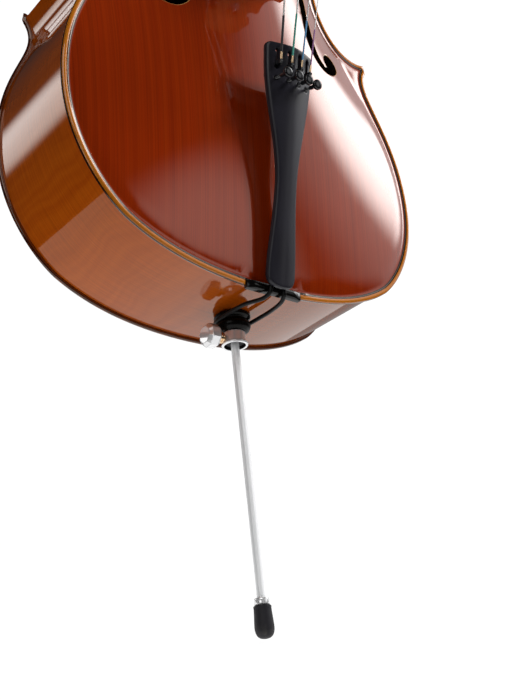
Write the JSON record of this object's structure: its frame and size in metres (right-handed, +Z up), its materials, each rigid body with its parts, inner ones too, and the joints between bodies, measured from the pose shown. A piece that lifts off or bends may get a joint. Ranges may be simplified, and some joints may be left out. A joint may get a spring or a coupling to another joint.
{
  "type": "cello",
  "caption": "Full-size cello with arched plates, f-holes, bridge, tailpiece with built-in tuners, turning pegs and a clamped sliding endpin with a rubber tip.",
  "frame": {"origin": "the middle of the rubber tip's flat foot, where it meets the floor, on the endpin's axis", "axes": "+Z up along the endpin and body, +X to the treble side, the front faces -Y"},
  "size_m": [0.436, 0.2736, 1.5179],
  "materials": {
    "top_varnish": "gloss varnish over spruce",
    "back_varnish": "gloss varnish over flamed maple",
    "rib_varnish": "gloss varnish over flamed maple",
    "neck_varnish": "varnished and oiled maple",
    "inner_wood": "bare wood",
    "bridge_maple": "bare maple",
    "ebony": "polished ebony",
    "composite": "satin black",
    "tail_cord": "black cord",
    "rod_steel": "polished",
    "chrome": "mirror",
    "string_metal": "flat wound",
    "tip_rubber": "matte"
  },
  "bodies": {
    "body": {"top_plate": "top_varnish", "back_plate": "back_varnish", "rib_lower": "rib_varnish", "rib_c_bass": "rib_varnish", "rib_c_treble": "rib_varnish", "rib_upper_bass": "rib_varnish", "rib_upper_treble": "rib_varnish", "neck": "neck_varnish", "neck_block": "inner_wood", "end_block": "inner_wood", "lower_corner_block_bass": "inner_wood", "lower_corner_block_treble": "inner_wood", "upper_corner_block_bass": "inner_wood", "upper_corner_block_treble": "inner_wood", "bass_bar": "inner_wood", "sound_post": "inner_wood", "top_lining_lower_bass": "inner_wood", "top_lining_lower_treble": "inner_wood", "top_lining_c_bass": "inner_wood", "top_lining_c_treble": "inner_wood", "top_lining_upper_bass": "inner_wood", "top_lining_upper_treble": "inner_wood", "back_lining_lower_bass": "inner_wood", "back_lining_lower_treble": "inner_wood", "back_lining_c_bass": "inner_wood", "back_lining_c_treble": "inner_wood", "back_lining_upper_bass": "inner_wood", "back_lining_upper_treble": "inner_wood", "bridge": "bridge_maple", "fingerboard": "ebony", "nut": "ebony", "saddle": "ebony", "end_button": "ebony", "tailpiece": "composite", "tail_cord": "tail_cord", "clamp_collar": "chrome", "string_c": "string_metal", "string_g": "string_metal", "string_d": "string_metal", "string_a": "string_metal"},
    "endpin": {"endpin_rod": "rod_steel", "tip_ferrule": "chrome", "rubber_tip": "tip_rubber"},
    "clamp": {"clamp_screw": "chrome"},
    "peg_c_body": {"peg_c": "ebony", "c_string_winding": "string_metal"},
    "peg_g_body": {"peg_g": "ebony", "g_string_winding": "string_metal"},
    "peg_d_body": {"peg_d": "ebony", "d_string_winding": "string_metal"},
    "peg_a_body": {"peg_a": "ebony", "a_string_winding": "string_metal"},
    "tuner_c_screw": {"tuner_screw_c": "composite"},
    "tuner_c_lever": {"tuner_lever_c": "composite"},
    "tuner_g_screw": {"tuner_screw_g": "composite"},
    "tuner_g_lever": {"tuner_lever_g": "composite"},
    "tuner_d_screw": {"tuner_screw_d": "composite"},
    "tuner_d_lever": {"tuner_lever_d": "composite"},
    "tuner_a_screw": {"tuner_screw_a": "composite"},
    "tuner_a_lever": {"tuner_lever_a": "composite"}
  },
  "joints": [
    {"name": "endpin_slide", "type": "slide", "parent": "body", "child": "endpin", "axis": [0, 0, 1], "range_m": [-0.15, 0.238]},
    {"name": "clamp_turn", "type": "hinge", "parent": "body", "child": "clamp", "pos_m": [-0.01995, 0.00139, 0.28375], "axis": [-0.9976, 0.0698, 0], "range_deg": [0, 720]},
    {"name": "peg_c_turn", "type": "hinge", "parent": "body", "child": "peg_c_body", "pos_m": [0, -0.01124, 1.364], "axis": [-1, 0, 0], "continuous": true},
    {"name": "peg_g_turn", "type": "hinge", "parent": "body", "child": "peg_g_body", "pos_m": [0, 0.0091, 1.41077], "axis": [-1, 0, 0], "continuous": true},
    {"name": "peg_d_turn", "type": "hinge", "parent": "body", "child": "peg_d_body", "pos_m": [0, 0.01787, 1.43095], "axis": [1, 0, 0], "continuous": true},
    {"name": "peg_a_turn", "type": "hinge", "parent": "body", "child": "peg_a_body", "pos_m": [0, -0.00246, 1.38418], "axis": [1, 0, 0], "continuous": true},
    {"name": "tuner_c_turn", "type": "hinge", "parent": "body", "child": "tuner_c_screw", "pos_m": [-0.01875, -0.12926, 0.50416], "axis": [0, -0.9692, -0.2464], "range_deg": [-1080, 0]},
    {"name": "tuner_c_tilt", "type": "hinge", "parent": "body", "child": "tuner_c_lever", "pos_m": [-0.01875, -0.12202, 0.52199], "axis": [1, 0, 0], "range_deg": [0, 6]},
    {"name": "tuner_g_turn", "type": "hinge", "parent": "body", "child": "tuner_g_screw", "pos_m": [-0.00625, -0.12926, 0.50416], "axis": [0, -0.9692, -0.2464], "range_deg": [-1080, 0]},
    {"name": "tuner_g_tilt", "type": "hinge", "parent": "body", "child": "tuner_g_lever", "pos_m": [-0.00625, -0.12398, 0.52149], "axis": [1, 0, 0], "range_deg": [0, 6]},
    {"name": "tuner_d_turn", "type": "hinge", "parent": "body", "child": "tuner_d_screw", "pos_m": [0.00625, -0.12926, 0.50416], "axis": [0, -0.9692, -0.2464], "range_deg": [-1080, 0]},
    {"name": "tuner_d_tilt", "type": "hinge", "parent": "body", "child": "tuner_d_lever", "pos_m": [0.00625, -0.12398, 0.52149], "axis": [1, 0, 0], "range_deg": [0, 6]},
    {"name": "tuner_a_turn", "type": "hinge", "parent": "body", "child": "tuner_a_screw", "pos_m": [0.01875, -0.12926, 0.50416], "axis": [0, -0.9692, -0.2464], "range_deg": [-1080, 0]},
    {"name": "tuner_a_tilt", "type": "hinge", "parent": "body", "child": "tuner_a_lever", "pos_m": [0.01875, -0.12202, 0.52199], "axis": [1, 0, 0], "range_deg": [0, 6]}
  ],
  "couplings": [
    {"joint": "tuner_c_tilt", "follows": "tuner_c_turn", "ratio": -0.0055556},
    {"joint": "tuner_g_tilt", "follows": "tuner_g_turn", "ratio": -0.0055556},
    {"joint": "tuner_d_tilt", "follows": "tuner_d_turn", "ratio": -0.0055556},
    {"joint": "tuner_a_tilt", "follows": "tuner_a_turn", "ratio": -0.0055556}
  ]
}
